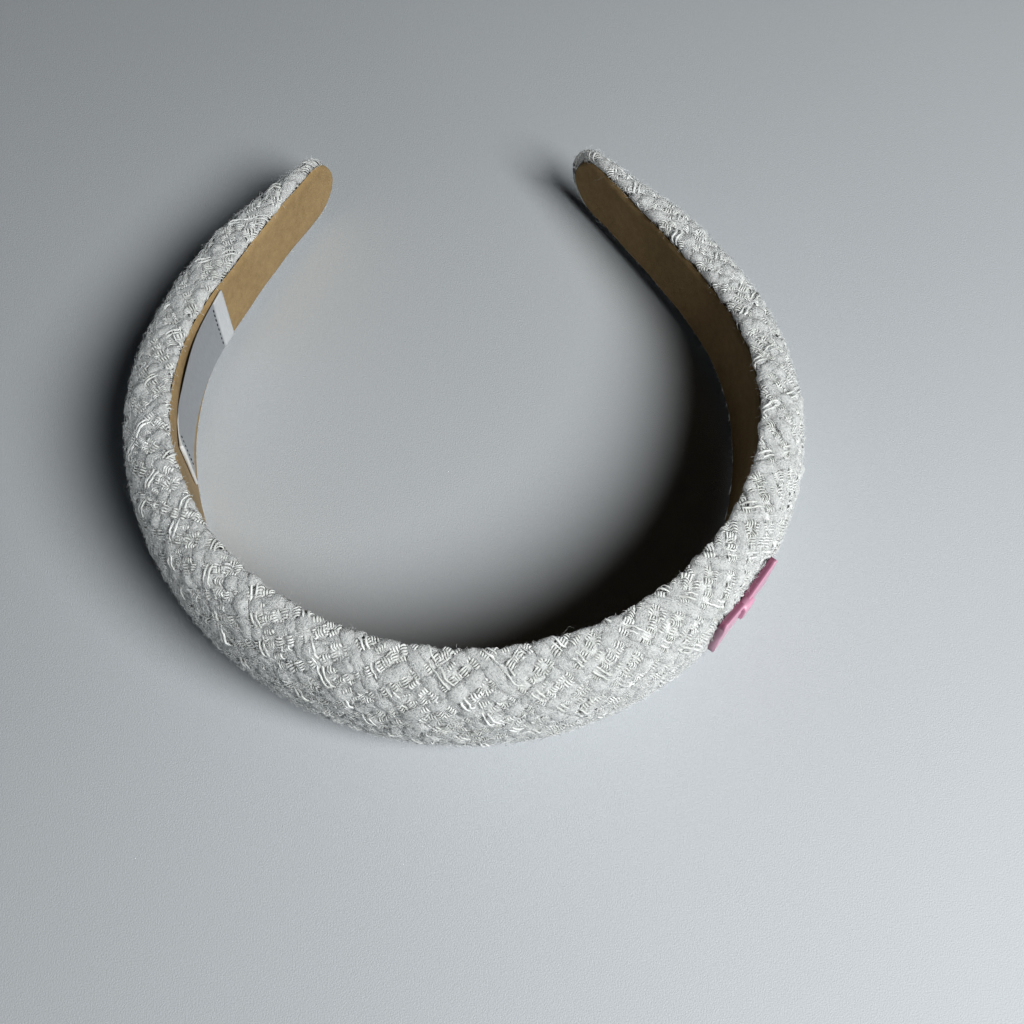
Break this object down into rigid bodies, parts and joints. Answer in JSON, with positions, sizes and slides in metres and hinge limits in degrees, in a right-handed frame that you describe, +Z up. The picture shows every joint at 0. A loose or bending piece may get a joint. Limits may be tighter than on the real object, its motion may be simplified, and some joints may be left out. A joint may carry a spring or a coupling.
{
  "type": "padded headband",
  "caption": "Stiff padded headband covered in white boucle tweed, lined in tan suede, with a satin label inside and a small pink bow on its side.",
  "frame": {"origin": "middle of the headband's box, on the surface that it lies on", "axes": "+X to the wearer's side that carries the bow, +Y from the crown of the band towards its open tips, +Z up from the surface, along the height of the band"},
  "size_m": [0.1498, 0.1472, 0.0385],
  "materials": {
    "tweed": "white boucle tweed, fluffy matt yarns crossed by thin shiny ones",
    "suede": "tan suede with a short nap and a darker cut edge",
    "satin": "pale grey woven satin tape, soft sheen along its threads",
    "pink_resin": "pink cast resin, smooth and lightly glossy"
  },
  "bodies": {
    "root": {"padded_band": "tweed", "suede_lining": "suede", "satin_label": "satin", "pink_ornament": "pink_resin"}
  },
  "joints": []
}
